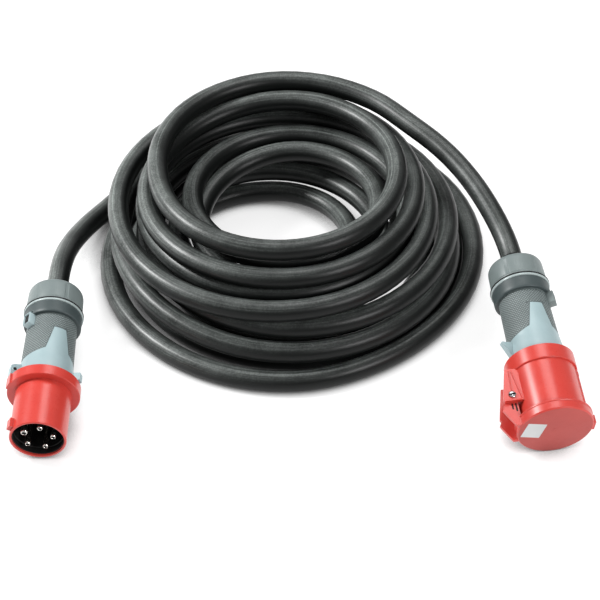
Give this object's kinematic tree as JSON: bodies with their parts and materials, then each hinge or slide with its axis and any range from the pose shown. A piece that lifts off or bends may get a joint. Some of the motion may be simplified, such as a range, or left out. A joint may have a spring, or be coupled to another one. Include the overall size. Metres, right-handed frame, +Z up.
{
  "type": "shore power cord",
  "caption": "Coiled heavy rubber cable with a round five-pin industrial plug on one end and a matching connector with a spring lid on the other.",
  "frame": {"origin": "point on the floor under the middle of the box that holds the plug and the connector", "axes": "+Z up; the plug (at -X) and the connector (at +X) point roughly towards -Y; the coil lies behind them towards +Y"},
  "size_m": [0.7331, 0.6496, 0.172],
  "materials": {
    "signal_red": "smooth moulded polyamide, slightly satin",
    "lid_red": "moulded polyamide, a little duller",
    "pale_blue_grey": "smooth satin moulding",
    "mid_grey": "fine textured moulding",
    "black_moulding": "matt glass-filled moulding",
    "nickel": "bright nickel plate on brass",
    "steel": "plain steel",
    "black_rubber": "soft rubber",
    "label_white": "plain white film",
    "cable_rubber": "satin black rubber",
    "core_green_yellow": "smooth insulation",
    "core_brown": "smooth insulation",
    "core_black": "smooth insulation",
    "core_grey": "smooth insulation",
    "core_blue": "smooth insulation"
  },
  "bodies": {
    "lead": {"cable_coil_lower": "cable_rubber", "cable_coil_upper": "cable_rubber", "cable_connector_tail": "cable_rubber", "cable_plug_tail": "cable_rubber", "connector_body": "signal_red", "connector_carrier": "black_moulding", "connector_contact_earth": "nickel", "connector_contact_l1": "nickel", "connector_contact_l2": "nickel", "connector_contact_l3": "nickel", "connector_contact_neutral": "nickel", "connector_core_earth": "core_green_yellow", "connector_core_l1": "core_brown", "connector_core_l2": "core_black", "connector_core_l3": "core_grey", "connector_core_neutral": "core_blue", "connector_front_seal": "black_rubber", "connector_gland_bush": "pale_blue_grey", "connector_gland_seal": "black_rubber", "connector_grip": "mid_grey", "connector_housing": "pale_blue_grey", "connector_nut_seal": "black_rubber", "connector_terminal_screws": "steel", "hinge_pin": "steel", "lid_spring": "steel", "plug_contact_carrier": "black_moulding", "plug_core_earth": "core_green_yellow", "plug_core_l1": "core_brown", "plug_core_l2": "core_black", "plug_core_l3": "core_grey", "plug_core_neutral": "core_blue", "plug_earth_pin": "nickel", "plug_front_seal": "black_rubber", "plug_gland_bush": "pale_blue_grey", "plug_gland_seal": "black_rubber", "plug_grip": "mid_grey", "plug_housing": "pale_blue_grey", "plug_lining": "black_moulding", "plug_nut_seal": "black_rubber", "plug_pin_l1": "nickel", "plug_pin_l2": "nickel", "plug_pin_l3": "nickel", "plug_pin_neutral": "nickel", "plug_shroud": "signal_red", "plug_terminal_screws": "steel"},
    "lid": {"connector_lid": "lid_red", "lid_gasket": "black_rubber", "blank_label": "label_white"},
    "plug_clamp": {"plug_clamp_ring": "black_moulding"},
    "plug_nut": {"plug_gland_nut": "mid_grey"},
    "plug_lock": {"plug_lock_slide": "pale_blue_grey"},
    "connector_clamp": {"connector_clamp_ring": "black_moulding"},
    "connector_nut": {"connector_gland_nut": "mid_grey"},
    "connector_lock": {"connector_lock_slide": "pale_blue_grey"}
  },
  "joints": [
    {"name": "lid_hinge", "type": "hinge", "parent": "lead", "child": "lid", "pos_m": [0.26305, -0.08729, 0.05505], "axis": [-0.0269, 0.1802, -0.9833], "range_deg": [0, 130], "stiffness_Nm_per_rad": 0.03, "springref_deg": -91.67, "deforming": ["lid_spring"]},
    {"name": "plug_clamp_slide", "type": "slide", "parent": "lead", "child": "plug_clamp", "axis": [0.026, 0.9942, 0.1045], "range_m": [0, 0.004]},
    {"name": "plug_nut_turn", "type": "hinge", "parent": "plug_clamp", "child": "plug_nut", "pos_m": [-0.3153, 0.08753, 0.06134], "axis": [0.026, 0.9942, 0.1045], "range_deg": [0, 720]},
    {"name": "plug_lock_travel", "type": "slide", "parent": "lead", "child": "plug_lock", "axis": [0.026, 0.9942, 0.1045], "range_m": [0, 0.0035]},
    {"name": "connector_clamp_slide", "type": "slide", "parent": "lead", "child": "connector_clamp", "axis": [-0.1453, 0.9725, 0.1822], "range_m": [0, 0.004]},
    {"name": "connector_nut_turn", "type": "hinge", "parent": "connector_clamp", "child": "connector_nut", "pos_m": [0.28297, 0.10756, 0.09022], "axis": [-0.1453, 0.9725, 0.1822], "range_deg": [0, 720]},
    {"name": "connector_lock_travel", "type": "slide", "parent": "lead", "child": "connector_lock", "axis": [-0.1453, 0.9725, 0.1822], "range_m": [0, 0.0035]}
  ],
  "couplings": [
    {"joint": "plug_clamp_slide", "follows": "plug_nut_turn", "m_per_rad": 0.00031831},
    {"joint": "connector_clamp_slide", "follows": "connector_nut_turn", "m_per_rad": 0.00031831}
  ]
}
